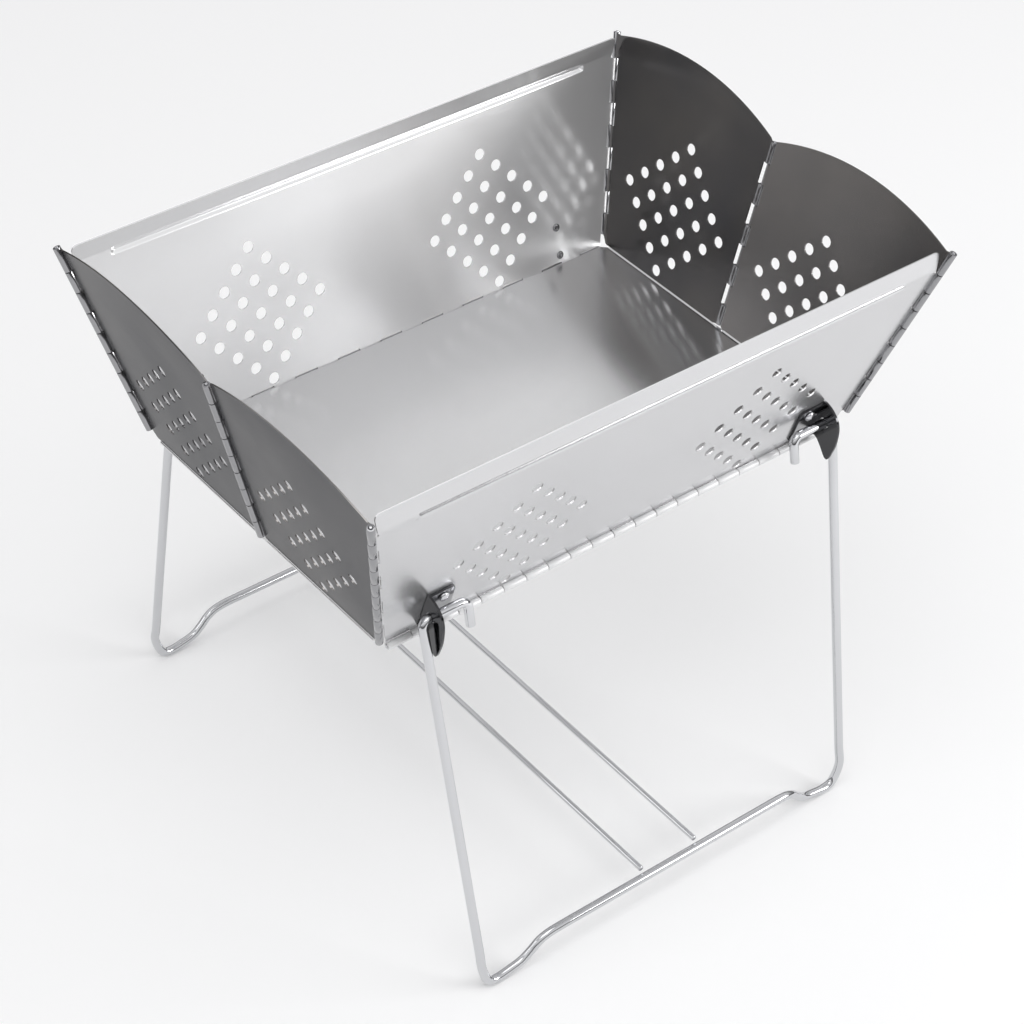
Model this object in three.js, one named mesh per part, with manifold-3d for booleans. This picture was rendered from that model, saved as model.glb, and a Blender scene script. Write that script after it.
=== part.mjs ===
// Folding grill: an open fire box of perforated sheet steel on two folding wire leg frames.
// Millimetres, +Z up, X along the long walls, the ground at z = 0.
import * as THREE from "three";
import { mergeVertices } from "three/addons/utils/BufferGeometryUtils.js";
import Module from "manifold-3d";

const wasm = await Module();
wasm.setup();

// ---------- sizes ----------
const FLOOR = 241.9934; // height of the fire box floor over the ground
const SHIFT_Y = -1.8711; // centres the bounding box on the origin
const T = 0.9; // wall sheet
const T_BASE = 1.0; // floor sheet
const HALF_L = 169; // half length between the end walls at floor height
const HALF_W = 110; // half width between the long walls at floor height
const TAN_LONG = 0.2942; // flare of the long walls
const TAN_END = 0.262; // flare of the end walls
const CREASE = 120.4; // slant height of the bent lip on the long walls
const LIP_TOP_Y = 142.9,
  LIP_TOP_Z = 127.1; // top edge of the lip
const HOLE = 3.65; // hole radius
const PITCH = 15; // hole spacing on a square lattice turned 45 degrees
const R_KN = 2.35; // knuckle radius
const OFF = 1.7; // hinge axis outside the inner face of the sheet
const CUT = 4.25; // sheet edge beside a neighbour's knuckle, from the axis
const OFF_B = 2.45, // the same two sizes for the floor hinges, which leave only a fine seam inside
  CUT_B = 2.63;
const BORE = 1.3,
  PIN = 1.0;
const BORE_C = 1.15,
  BORE_HOOK = 1.75,
  PIN_C = 0.85;
const GAP = 0.5; // between neighbouring knuckles
const ROD = 3.0; // leg wire radius
const PIVOT_Y = 122.4,
  PIVOT_Z = 14.6,
  LEG_X = 150.5,
  HOOK_X = 119.7;
const BAR_Y = 176.4,
  BAR_Z = -222.3;
const SPREAD_X = 21,
  SPREAD_R = 2.0;

const V3 = (x, y, z) => new THREE.Vector3(x, y, z);

// ---------- solids ----------
function solid(geometry, matrix) {
  const g = geometry.clone();
  g.deleteAttribute("normal");
  g.deleteAttribute("uv");
  if (matrix) g.applyMatrix4(matrix);
  const m = mergeVertices(g, 1e-4);
  const tri = new Uint32Array(m.index.array);
  if (matrix && matrix.determinant() < 0)
    for (let i = 0; i < tri.length; i += 3)
      [tri[i + 1], tri[i + 2]] = [tri[i + 2], tri[i + 1]];
  return new wasm.Manifold(
    new wasm.Mesh({
      numProp: 3,
      vertProperties: new Float32Array(m.attributes.position.array),
      triVerts: tri,
    }),
  );
}
function toGeometry(s) {
  const m = s.getMesh(),
    n = m.numProp,
    v = new Float32Array(m.numVert * 3);
  for (let i = 0; i < m.numVert; i++)
    v.set(m.vertProperties.subarray(i * n, i * n + 3), i * 3);
  const g = new THREE.BufferGeometry()
    .setAttribute("position", new THREE.BufferAttribute(v, 3))
    .setIndex(new THREE.BufferAttribute(new Uint32Array(m.triVerts), 1));
  g.computeVertexNormals();
  return g;
}
const frameOf = (o, a, b, c) =>
  new THREE.Matrix4().makeBasis(a, b, c).setPosition(o);

// a flat sheet: outline and holes in the plane (a, b), thickness along c
function plate(outline, holes, thick, m) {
  const pts = outline.map(([x, y]) => new THREE.Vector2(x, y));
  if (THREE.ShapeUtils.area(pts) < 0) pts.reverse();
  const sh = new THREE.Shape(pts);
  for (const [x, y, r, n = 7] of holes) {
    const p = new THREE.Path();
    p.setFromPoints(
      Array.from({ length: n }, (_, i) => {
        const a = (-2 * Math.PI * i) / n + 0.3;
        return new THREE.Vector2(x + r * Math.cos(a), y + r * Math.sin(a));
      }),
    );
    sh.holes.push(p);
  }
  return solid(
    new THREE.ExtrudeGeometry(sh, { depth: thick, bevelEnabled: false }),
    m,
  );
}
// a round bar from p to q
function bar(p, q, r, n = 8, phase = 0) {
  const d = q.clone().sub(p),
    g = new THREE.CylinderGeometry(r, r, d.length(), n, 1);
  g.rotateY(phase);
  const m = new THREE.Matrix4().makeRotationFromQuaternion(
    new THREE.Quaternion().setFromUnitVectors(V3(0, 1, 0), d.clone().normalize()),
  );
  m.setPosition(p.clone().add(q).multiplyScalar(0.5));
  return solid(g, m);
}
// corner points rounded by arcs
function rounded(pts, radii, n = 3) {
  const out = [pts[0].clone()];
  for (let i = 1; i < pts.length - 1; i++) {
    const a = pts[i - 1].clone().sub(pts[i]).normalize(),
      b = pts[i + 1].clone().sub(pts[i]).normalize(),
      r = radii[i] || 0;
    if (!r) {
      out.push(pts[i].clone());
      continue;
    }
    const half = a.angleTo(b) / 2,
      t = r / Math.tan(half);
    const c = pts[i].clone().add(a.clone().add(b).normalize().multiplyScalar(r / Math.sin(half)));
    const s = pts[i].clone().addScaledVector(a, t).sub(c),
      e = pts[i].clone().addScaledVector(b, t).sub(c),
      w = s.angleTo(e);
    for (let k = 0; k <= n; k++) {
      const u = k / n;
      out.push(
        s.clone().multiplyScalar(Math.sin((1 - u) * w) / Math.sin(w))
          .addScaledVector(e, Math.sin(u * w) / Math.sin(w)).add(c),
      );
    }
  }
  out.push(pts[pts.length - 1].clone());
  return out;
}
// a bent wire: rings at mitred joints, carried along without twist
function wire(pts, r, sides = 8) {
  const pos = [],
    idx = [],
    n = pts.length;
  let normal = null,
    before = null;
  for (let i = 0; i < n; i++) {
    const a = i ? pts[i].clone().sub(pts[i - 1]).normalize() : null,
      b = i < n - 1 ? pts[i + 1].clone().sub(pts[i]).normalize() : null,
      dir = b || a;
    if (!normal) {
      const ref = Math.abs(dir.x) > 0.9 ? V3(0, 0, 1) : V3(1, 0, 0);
      normal = ref.clone().addScaledVector(dir, -ref.dot(dir)).normalize();
      before = dir;
    } else if (a && b) {
      const q = new THREE.Quaternion().setFromUnitVectors(before, a);
      normal.applyQuaternion(q);
      before = a;
    }
    const at = a || b,
      bin = at.clone().cross(normal).normalize(),
      plane = a && b ? a.clone().add(b).normalize() : at;
    for (let k = 0; k < sides; k++) {
      const w = (2 * Math.PI * (k + 0.5)) / sides;
      const o = normal.clone().multiplyScalar(r * Math.cos(w)).addScaledVector(bin, r * Math.sin(w));
      o.addScaledVector(at, -o.dot(plane) / at.dot(plane)); // slide onto the mitre plane
      pos.push(pts[i].x + o.x, pts[i].y + o.y, pts[i].z + o.z);
    }
    if (a && b) {
      const q = new THREE.Quaternion().setFromUnitVectors(a, b);
      normal.applyQuaternion(q);
      before = b;
    }
  }
  for (let i = 0; i < n - 1; i++)
    for (let k = 0; k < sides; k++) {
      const p = i * sides + k,
        q = i * sides + ((k + 1) % sides);
      idx.push(p, q, q + sides, p, q + sides, p + sides);
    }
  for (let k = 1; k < sides - 1; k++) {
    idx.push(0, k + 1, k);
    const e = (n - 1) * sides;
    idx.push(e, e + k, e + k + 1);
  }
  const g = new THREE.BufferGeometry()
    .setAttribute("position", new THREE.BufferAttribute(new Float32Array(pos), 3))
    .setIndex(idx);
  return solid(g);
}
const join = (list) => list.reduce((a, b) => a.add(b));

// ---------- hinge layout ----------
// equal knuckles from a to b; knuckle i belongs to the first sheet when i is even
function knuckles(a, b, n) {
  const w = (b - a) / n;
  return Array.from({ length: n }, (_, i) => ({
    from: a + i * w + (i ? GAP / 2 : 0),
    to: a + (i + 1) * w - (i < n - 1 ? GAP / 2 : 0),
    lo: a + i * w,
    hi: a + (i + 1) * w,
    i,
  }));
}
const K_BASE = knuckles(-166, 166, 21);
const K_CORNER = knuckles(6.6, 134.6, 9); // along the corner line, from the floor level up
K_CORNER[8].to = K_CORNER[8].hi = 136.6; // the top knuckle runs on to the rim
const K_MID = knuckles(2.2, 127.2, 9);

// a stepped edge: [along, across] points, where tabs reach "tab" and the rest stays at "cut"
function stepped(ks, mine, tab, cut) {
  const p = [];
  for (const k of ks) {
    const q = mine(k.i) ? tab : cut;
    const lo = mine(k.i) ? k.from : k.lo - (k.i ? GAP / 2 : 0),
      hi = mine(k.i) ? k.to : k.hi + (k.i < ks.length - 1 ? GAP / 2 : 0);
    p.push([lo, q], [hi, q]);
  }
  return p;
}

// ---------- planes of the walls ----------
const cL = Math.cos(Math.atan(TAN_LONG)),
  sL = Math.sin(Math.atan(TAN_LONG)),
  cE = Math.cos(Math.atan(TAN_END)),
  sE = Math.sin(Math.atan(TAN_END));
const nLong = (d) => V3(0, d * cL, -sL),
  sLong = (d) => V3(0, d * sL, cL),
  nEnd = (e) => V3(e * cE, 0, -sE),
  vEnd = (e) => V3(e * sE, 0, cE);
// corner line direction and its angle between the walls
const cornerDir = (e, d) => V3(e * TAN_END, d * TAN_LONG, 1).normalize();
const PER = Math.hypot(TAN_END, TAN_LONG, 1); // corner length for each mm of height
function cornerAxisPoint(e, d) {
  // hinge axis, OFF outside both inner faces, at floor height
  const a = cornerDir(e, d),
    m = new THREE.Matrix3().set(
      a.x, a.y, a.z,
      nLong(d).x, nLong(d).y, nLong(d).z,
      nEnd(e).x, nEnd(e).y, nEnd(e).z,
    );
  const w = V3(0, OFF, OFF).applyMatrix3(m.invert());
  return V3(e * HALF_L, d * HALF_W, 0).add(w);
}
const cosIn = nLong(1).dot(nEnd(1)); // of the angle between the outward normals
const HALF_ANG = (Math.PI - Math.acos(cosIn)) / 2;
const FOOT_CORNER = OFF / Math.tan(HALF_ANG); // axis foot beyond the corner line, in each sheet
const HALF_BASE = (Math.PI / 2 + Math.atan(TAN_LONG)) / 2;
const FOOT_BASE = OFF_B / Math.tan(HALF_BASE);
const BASE_AX_Y = HALF_W + FOOT_BASE,
  BASE_AX_Z = -OFF_B;

// the slope of the corner line inside each sheet: across per slant
const SLOPE_LONG = TAN_END * cL,
  SLOPE_END = TAN_LONG * cE;
// point on a sheet at corner distance l (along the corner line) and q (square to it, inwards)
function atCorner(base, slope, l, q) {
  const n = Math.hypot(slope, 1);
  return [base + (slope / n) * l - (1 / n) * q, (1 / n) * l + (slope / n) * q];
}

function lattice(cx, cy) {
  const h = [];
  for (let i = -2; i <= 2; i++)
    for (let j = -2; j <= 2; j++)
      h.push([
        cx + ((i + j) * PITCH) / Math.SQRT2,
        cy + ((i - j) * PITCH) / Math.SQRT2,
        HOLE,
      ]);
  return h;
}

// ---------- floor ----------
function basePlate() {
  const edge = (d) => {
    const p = [];
    for (const [x, y] of stepped(K_BASE, (i) => i % 2 === 0, BASE_AX_Y - 0.3, BASE_AX_Y - CUT_B))
      p.push([x, d * y]);
    return p;
  };
  const rear = edge(1),
    front = edge(-1).reverse();
  const out = [
    [-168, -100],
    [-168, 100],
    [-166, BASE_AX_Y - CUT_B],
    ...rear,
    [166, BASE_AX_Y - CUT_B],
    [168, 100],
    [168, -100],
    [166, -(BASE_AX_Y - CUT_B)],
    ...front,
    [-166, -(BASE_AX_Y - CUT_B)],
  ];
  let s = plate(out, [], T_BASE, new THREE.Matrix4().makeTranslation(0, 0, -T_BASE));
  for (const d of [1, -1])
    for (const k of K_BASE)
      if (k.i % 2 === 0)
        s = s.add(bar(V3(k.from, d * BASE_AX_Y, BASE_AX_Z), V3(k.to, d * BASE_AX_Y, BASE_AX_Z), R_KN, 8, Math.PI / 8));
  for (const d of [1, -1])
    s = s.subtract(bar(V3(-180, d * BASE_AX_Y, BASE_AX_Z), V3(180, d * BASE_AX_Y, BASE_AX_Z), BORE, 6));
  return s;
}

// ---------- long walls, with the lip and the bead ----------
const RIVETS = [
  [134, 24.4],
  [134, 5.6],
];
function longPanel(d) {
  // plane axes: a x b = c points out of the box
  const a = V3(-d, 0, 0),
    b = sLong(d),
    c = nLong(d),
    m = frameOf(V3(0, d * HALF_W, 0), a, b, c);
  const side = (g) => {
    const p = stepped(K_CORNER, (i) => i % 2 === 1, -FOOT_CORNER + 0.9, -FOOT_CORNER + CUT).map(([l, q]) => {
      const [x, s] = atCorner(HALF_L, SLOPE_LONG, l, q);
      return [g * x, s];
    });
    return p;
  };
  const foot = stepped(K_BASE, (i) => i % 2 === 1, -FOOT_BASE + 0.3, -FOOT_BASE + CUT_B).map(([x, s]) => [x, s]);
  const [xl, sl] = atCorner(HALF_L, SLOPE_LONG, 4.5, -FOOT_CORNER + CUT);
  const right = side(1),
    left = side(-1).reverse();
  const out = [
    ...foot,
    [xl - 1.2, -FOOT_BASE + CUT_B],
    ...right.filter(([, s]) => s < CREASE + 0.2 && s > sl),
    [HALF_L + SLOPE_LONG * CREASE - 3.2, CREASE + 0.2],
    [-(HALF_L + SLOPE_LONG * CREASE - 3.2), CREASE + 0.2],
    ...left.filter(([, s]) => s < CREASE + 0.2 && s > sl),
    [-(xl - 1.2), -FOOT_BASE + CUT_B],
  ];
  const holes = [...lattice(85.5, 47.6), ...lattice(-85.5, 47.6)];
  for (const [x, s] of RIVETS) holes.push([x, s, 1.8, 8], [-x, s, 1.8, 8]);
  let s = plate(out, holes, T, m);
  // lip: a narrow strip bent inwards at the crease
  const y0 = HALF_W + sL * CREASE,
    z0 = cL * CREASE,
    along = V3(0, d * (LIP_TOP_Y - y0), LIP_TOP_Z - z0),
    w = along.length();
  along.normalize();
  const out2 = a.clone().cross(along).normalize();
  const xc = HALF_L + SLOPE_LONG * CREASE;
  s = s.add(
    plate(
      [
        [-(xc - 3.2), -0.25],
        [xc - 3.2, -0.25],
        [xc - 1.6, w - 3],
        [xc - 4.5, w],
        [-(xc - 4.5), w],
        [-(xc - 1.6), w - 3],
      ],
      [],
      T,
      frameOf(V3(0, d * y0, z0), a, along, out2),
    ),
  );
  // bead pressed outwards along the crease
  const bz = z0 - 0.4,
    by = y0 + 0.75;
  s = s.add(bar(V3(-173, d * by, bz), V3(173, d * by, bz), 1.7, 8, Math.PI / 8));
  // knuckles of the floor hinge and of the two corner hinges
  for (const k of K_BASE)
    if (k.i % 2 === 1)
      s = s.add(bar(V3(k.from, d * BASE_AX_Y, BASE_AX_Z), V3(k.to, d * BASE_AX_Y, BASE_AX_Z), R_KN, 8, Math.PI / 8));
  s = s.subtract(bar(V3(-180, d * BASE_AX_Y, BASE_AX_Z), V3(180, d * BASE_AX_Y, BASE_AX_Z), BORE, 6));
  for (const e of [1, -1]) {
    const p = cornerAxisPoint(e, d),
      dir = cornerDir(e, d),
      at = (l) => p.clone().addScaledVector(dir, l);
    for (const k of K_CORNER) if (k.i % 2 === 1) s = s.add(bar(at(k.from), at(k.to), R_KN));
    s = s.subtract(bar(at(0), at(145), BORE, 6));
  }
  return s;
}

// ---------- end walls: two leaves side by side ----------
function leaf(e, d) {
  const a = V3(0, e, 0),
    b = vEnd(e),
    c = nEnd(e),
    g = e * d, // sign of the leaf's own side along a
    rear = d > 0,
    m = frameOf(V3(e * HALF_L, 0, 0), a, b, c);
  const VB = 1.35,
    RAD = 193.9,
    UC = 75.5,
    VC = 143.15 - RAD;
  const mid = stepped(K_MID, (i) => (i % 2 === 0) === rear, rear ? 0.9 : 1.5, CUT).map(([v, u]) => [u, v]);
  const corner = stepped(K_CORNER, (i) => i % 2 === 0, -FOOT_CORNER + 0.9, -FOOT_CORNER + CUT).map(([l, q]) =>
    atCorner(HALF_W, SLOPE_END, l, q),
  );
  const top = [];
  for (let i = 0; i <= 10; i++) {
    const u = 5 + ((143.5 - 5) * i) / 10;
    top.push([u, VC + Math.sqrt(RAD * RAD - (u - UC) * (u - UC))]);
  }
  const [uc0] = atCorner(HALF_W, SLOPE_END, 5.5, -0.6);
  let out = [
    ...mid, // up the centre
    ...top,
    ...corner.reverse(), // down the corner
    [uc0, 6],
    [HALF_W - 0.4, 2.6],
    [HALF_W - 2.6, VB],
    [CUT, VB],
  ];
  out = out.map(([u, v]) => [g * u, v]);
  let s = plate(out, lattice(g * 61, 49.9), T, m);
  // central knuckles
  const cp = V3(e * HALF_L, 0, 0).addScaledVector(c, OFF),
    cAt = (v) => cp.clone().addScaledVector(b, v);
  for (const k of K_MID) if ((k.i % 2 === 0) === rear) s = s.add(bar(cAt(k.from), cAt(k.to), R_KN, 10));
  s = s.subtract(bar(cAt(-5), cAt(150), rear ? BORE_C : BORE_HOOK, 8));
  if (!rear) {
    // these knuckles are open hooks, so the pin of the other leaf can leave them
    const w = 160;
    const box = new THREE.BoxGeometry(4, w, 3.2);
    s = s.subtract(solid(box, frameOf(cAt(60).addScaledVector(a, -g * 2).addScaledVector(c, 0.35), a, b, c)));
  }
  // corner knuckles
  const p = cornerAxisPoint(e, d),
    dir = cornerDir(e, d),
    at = (l) => p.clone().addScaledVector(dir, l);
  for (const k of K_CORNER) if (k.i % 2 === 0) s = s.add(bar(at(k.from), at(k.to), R_KN));
  s = s.subtract(bar(at(0), at(145), BORE, 6));
  return s;
}

// ---------- hinge pins ----------
const basePin = (d) => bar(V3(-166.8, d * BASE_AX_Y, BASE_AX_Z), V3(166.8, d * BASE_AX_Y, BASE_AX_Z), PIN, 8);
function cornerPin(e, d) {
  const p = cornerAxisPoint(e, d),
    dir = cornerDir(e, d);
  return bar(p.clone().addScaledVector(dir, 6.0), p.clone().addScaledVector(dir, 137.3), PIN, 8);
}
function midPin(e) {
  const p = V3(e * HALF_L, 0, 0).addScaledVector(nEnd(e), OFF);
  return bar(p.clone().addScaledVector(vEnd(e), 1.6), p.clone().addScaledVector(vEnd(e), 127.9), PIN_C, 8);
}

// ---------- leg brackets: a riveted plate with a folded ear ----------
const T_BR = 1.4,
  EAR_X = 144.6;
function bracket(e, d) {
  const a = V3(-d, 0, 0),
    b = sLong(d),
    c = nLong(d),
    m = frameOf(V3(0, d * HALF_W, 0).addScaledVector(c, T + 0.3), a, b, c),
    g = -d * e;
  let s = plate(
    [
      [g * 126.5, 3.6],
      [g * 128.5, 1.9],
      [g * (EAR_X + 0.7), 1.9],
      [g * (EAR_X + 0.7), 29.5],
      [g * 129.5, 29.5],
      [g * 126.5, 26.5],
    ],
    RIVETS.map(([x, v]) => [g * x, v, 1.8, 8]),
    T_BR,
    m,
  );
  // ear, square to X: outline in (|y|, z)
  const f = (v) => [HALF_W + sL * v + cL * (T + 0.3), cL * v - sL * (T + 0.3)];
  const ear = [
    f(1.9),
    f(29.5),
    [120.6, 29.4],
    [126.5, 27.4],
    [131.5, 23.2],
    [133.9, 18.0],
    [134.2, 11.5],
    [133.2, 3.5],
    [131.0, -3.5],
    [128.9, -8.4],
    [127.0, -9.4],
    [125.0, -8.0],
    [121.0, -2.6],
    [117.0, 1.2],
  ];
  // plane (y, z) extruded along x
  const em = frameOf(V3(e * EAR_X - 0.7, 0, 0), V3(0, 1, 0), V3(0, 0, 1), V3(1, 0, 0));
  s = s.add(plate(ear.map(([y, z]) => [d * y, z]), [[d * PIVOT_Y, PIVOT_Z, ROD + 0.35, 10]], T_BR, em));
  return s;
}

// ---------- rivets ----------
function rivet(e, d, n) {
  const [x, v] = RIVETS[n];
  const base = V3(e * x, d * HALF_W, 0).addScaledVector(sLong(d), v);
  // along the outward normal: inner tail, shank, outer head
  const h = T + 0.3 + T_BR + 0.3;
  const pr = [
    [0, -1.1],
    [1.9, -1.0],
    [2.6, -0.3],
    [1.45, -0.3],
    [1.45, h],
    [3.4, h],
    [3.1, h + 1.0],
    [2.0, h + 1.75],
    [0, h + 2.05],
  ].map(([r, y]) => new THREE.Vector2(r, y));
  const g = new THREE.LatheGeometry(pr, 10);
  const m = new THREE.Matrix4().makeRotationFromQuaternion(
    new THREE.Quaternion().setFromUnitVectors(V3(0, 1, 0), nLong(d)),
  );
  m.setPosition(base);
  return solid(g, m);
}

// ---------- wire leg frames ----------
function legFrame(d) {
  const half = (e) => {
    const top = V3(e * LEG_X, d * PIVOT_Y, PIVOT_Z);
    const low = V3(e * 142, d * 174.6, -224);
    const down = low.clone().sub(top).normalize();
    const hookDown = V3(0, down.y, down.z).normalize();
    const h0 = V3(e * HOOK_X, d * PIVOT_Y, PIVOT_Z);
    return rounded(
      [
        h0.clone().addScaledVector(hookDown, 16.5),
        h0,
        top,
        low,
        V3(e * 137.5, d * 174.7, -236.5),
        V3(e * 130.5, d * 174.7, -239.1),
        V3(e * 121, d * 174.8, -237.8),
        V3(e * 112.4, d * 175.0, -235.5),
        V3(e * 106, d * 175.3, -230.7),
        V3(e * 101, d * 175.7, -226.2),
        V3(e * 94.6, d * 176.1, -223.3),
        V3(e * 85, d * BAR_Y, BAR_Z),
      ],
      [0, 5.0, 4.5, 0, 0, 0, 0, 0, 0, 0, 0, 0],
      4,
    );
  };
  return wire([...half(1), ...half(-1).reverse()], ROD, 8);
}

// ---------- spreader wires between the two leg frames ----------
const SPREAD_Z = BAR_Z + ROD + 0.35 + SPREAD_R;
function spreader(e) {
  const x = e * SPREAD_X;
  const rear = V3(x, BAR_Y, SPREAD_Z),
    front = V3(x, -(BAR_Y - 2.6), SPREAD_Z);
  let s = wire([front, rear], SPREAD_R, 8);
  // eye turned round the rear crossbar
  s = s.add(bar(V3(x - SPREAD_R, BAR_Y, BAR_Z), V3(x + SPREAD_R, BAR_Y, BAR_Z), ROD + 0.35 + 3.2, 12));
  s = s.subtract(bar(V3(x - 9, BAR_Y, BAR_Z), V3(x + 9, BAR_Y, BAR_Z), ROD + 0.4, 12));
  return s;
}

// ---------- the assembly ----------
const grill = new THREE.Group();
grill.name = "folding_grill";
const steel = (color, roughness) => new THREE.MeshStandardMaterial({ color, roughness, metalness: 1 });
function put(name, s, color = 0xb9bbbd, roughness = 0.34) {
  const mesh = new THREE.Mesh(toGeometry(s), steel(color, roughness));
  mesh.name = name;
  mesh.position.set(0, SHIFT_Y, FLOOR);
  grill.add(mesh);
}
const END = { 1: "right", "-1": "left" },
  SIDE = { 1: "rear", "-1": "front" };

put("base_plate", basePlate(), 0xd2d3d4, 0.3);
for (const d of [1, -1]) {
  put(SIDE[d] + "_panel", longPanel(d), 0xc6c7c8, 0.34);
  put(SIDE[d] + "_base_hinge_pin", basePin(d), 0x9fa1a3, 0.3);
  put(SIDE[d] + "_leg_frame", legFrame(d), 0xc9cbcd, 0.12);
  for (const e of [1, -1]) {
    const n = END[e] + "_" + SIDE[d];
    put(n + "_leaf", leaf(e, d), 0x8b8c8f, 0.36);
    put(n + "_corner_pin", cornerPin(e, d), 0xa5a6a8, 0.3);
    put(n + "_leg_bracket", bracket(e, d), 0x6f7173, 0.2);
    put(n + "_rivet_upper", rivet(e, d, 0), 0x8d8f91, 0.22);
    put(n + "_rivet_lower", rivet(e, d, 1), 0x8d8f91, 0.22);
  }
}
for (const e of [1, -1]) {
  put(END[e] + "_central_pin", midPin(e), 0x9fa1a3, 0.3);
  put(END[e] + "_spreader_wire", spreader(e), 0xc9cbcd, 0.15);
}

export default grill;
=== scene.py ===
import bpy, math
import numpy as np
from mathutils import Vector, Matrix
from mathutils.geometry import delaunay_2d_cdt


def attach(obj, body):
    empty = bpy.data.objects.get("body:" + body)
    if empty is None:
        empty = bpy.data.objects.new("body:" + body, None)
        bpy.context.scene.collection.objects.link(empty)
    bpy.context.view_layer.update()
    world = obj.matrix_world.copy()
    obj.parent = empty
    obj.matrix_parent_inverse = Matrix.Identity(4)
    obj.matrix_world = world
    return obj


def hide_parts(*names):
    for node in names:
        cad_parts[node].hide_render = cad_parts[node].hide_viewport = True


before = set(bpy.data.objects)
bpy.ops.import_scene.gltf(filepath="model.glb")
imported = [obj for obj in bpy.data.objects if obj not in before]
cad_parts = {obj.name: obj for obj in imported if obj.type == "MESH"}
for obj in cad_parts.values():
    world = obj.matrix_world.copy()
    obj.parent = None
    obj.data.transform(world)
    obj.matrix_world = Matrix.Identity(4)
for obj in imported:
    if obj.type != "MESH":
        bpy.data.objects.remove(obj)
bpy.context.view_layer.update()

MM = 0.001
FLOOR, SHIFT_Y = 241.9934, -1.8711
T, T_BASE = 0.9, 1.0
HALF_L, HALF_W, TAN_LONG, TAN_END = 169.0, 110.0, 0.2942, 0.262
CREASE, LIP_TOP_Y, LIP_TOP_Z = 120.4, 142.9, 127.1
HOLE, PITCH = 3.65, 15.0
R_KN, OFF, CUT, BORE, PIN, GAP = 2.35, 1.7, 4.25, 1.3, 1.0, 0.5
OFF_B, CUT_B = 2.45, 2.63
ROD, PIVOT_Y, PIVOT_Z, LEG_X, HOOK_X = 3.0, 122.4, 14.6, 150.5, 119.7
BAR_Y, BAR_Z, SPREAD_X = 176.4, -222.3, 21.0
cL, sL = math.cos(math.atan(TAN_LONG)), math.sin(math.atan(TAN_LONG))
cE, sE = math.cos(math.atan(TAN_END)), math.sin(math.atan(TAN_END))
SLOPE_LONG, SLOPE_END = TAN_END * cL, TAN_LONG * cE
V = Vector
END = {1: "right", -1: "left"}
SIDE = {1: "rear", -1: "front"}
n_long = lambda d: V((0, d * cL, -sL))
s_long = lambda d: V((0, d * sL, cL))
n_end = lambda e: V((e * cE, 0, -sE))
v_end = lambda e: V((e * sE, 0, cE))
corner_dir = lambda e, d: V((e * TAN_END, d * TAN_LONG, 1)).normalized()

def corner_axis(e, d):
    m = Matrix((corner_dir(e, d), n_long(d), n_end(e)))
    return V((e * HALF_L, d * HALF_W, 0)) + m.inverted() @ V((0, OFF, OFF))

half_ang = (math.pi - math.acos(n_long(1).dot(n_end(1)))) / 2
FOOT_CORNER = OFF / math.tan(half_ang)
FOOT_BASE = OFF_B / math.tan((math.pi / 2 + math.atan(TAN_LONG)) / 2)
AX_Y, AX_Z = HALF_W + FOOT_BASE, -OFF_B


# ------------------------------------------------------------------ mesh tools
class Bag:
    """Collects vertices (mm, floor at z = 0) and faces for one piece."""

    def __init__(self):
        self.v, self.f, self.mark = [], [], []

    def add(self, verts, faces):
        o = len(self.v)
        self.v += [tuple(p) for p in verts]
        self.f += [tuple(i + o for i in f) for f in faces]

    def make(self, name, body, replaces, mat, angle=32):
        me = bpy.data.meshes.new(name)
        me.from_pydata([(x * MM, (y + SHIFT_Y) * MM, (z + FLOOR) * MM) for x, y, z in self.v], [], self.f)
        me.validate()
        me.update()
        me.polygons.foreach_set("use_smooth", [True] * len(me.polygons))
        me.set_sharp_from_angle(angle=math.radians(angle))
        ob = bpy.data.objects.new(name, me)
        bpy.context.scene.collection.objects.link(ob)
        me.materials.append(mat)
        if self.mark:
            me.materials.append(MAT_BARREL)
            # Outer faces take a separate copy of the steel: painted shade on the end leaves, and on the long walls a
            # darker tone than the painted-light inner face.
            me.materials.append(MAT_LEAF_OUT if mat in (MAT_LEAF, MAT_LEAF_FRONT) else MAT_LONG_OUT)
            me.materials.append(MAT_HEM)
            idx = [0] * len(me.polygons)
            for a, b, m in self.mark:
                for k in range(a, b):
                    idx[k] = m
            me.polygons.foreach_set("material_index", idx)
        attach(ob, body)
        if replaces:
            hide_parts(*replaces)
        return ob


def inside(p, poly):
    x, y = p
    r = False
    j = len(poly) - 1
    for i in range(len(poly)):
        xi, yi = poly[i]
        xj, yj = poly[j]
        if (yi > y) != (yj > y) and x < (xj - xi) * (y - yi) / (yj - yi) + xi:
            r = not r
        j = i
    return r


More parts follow.
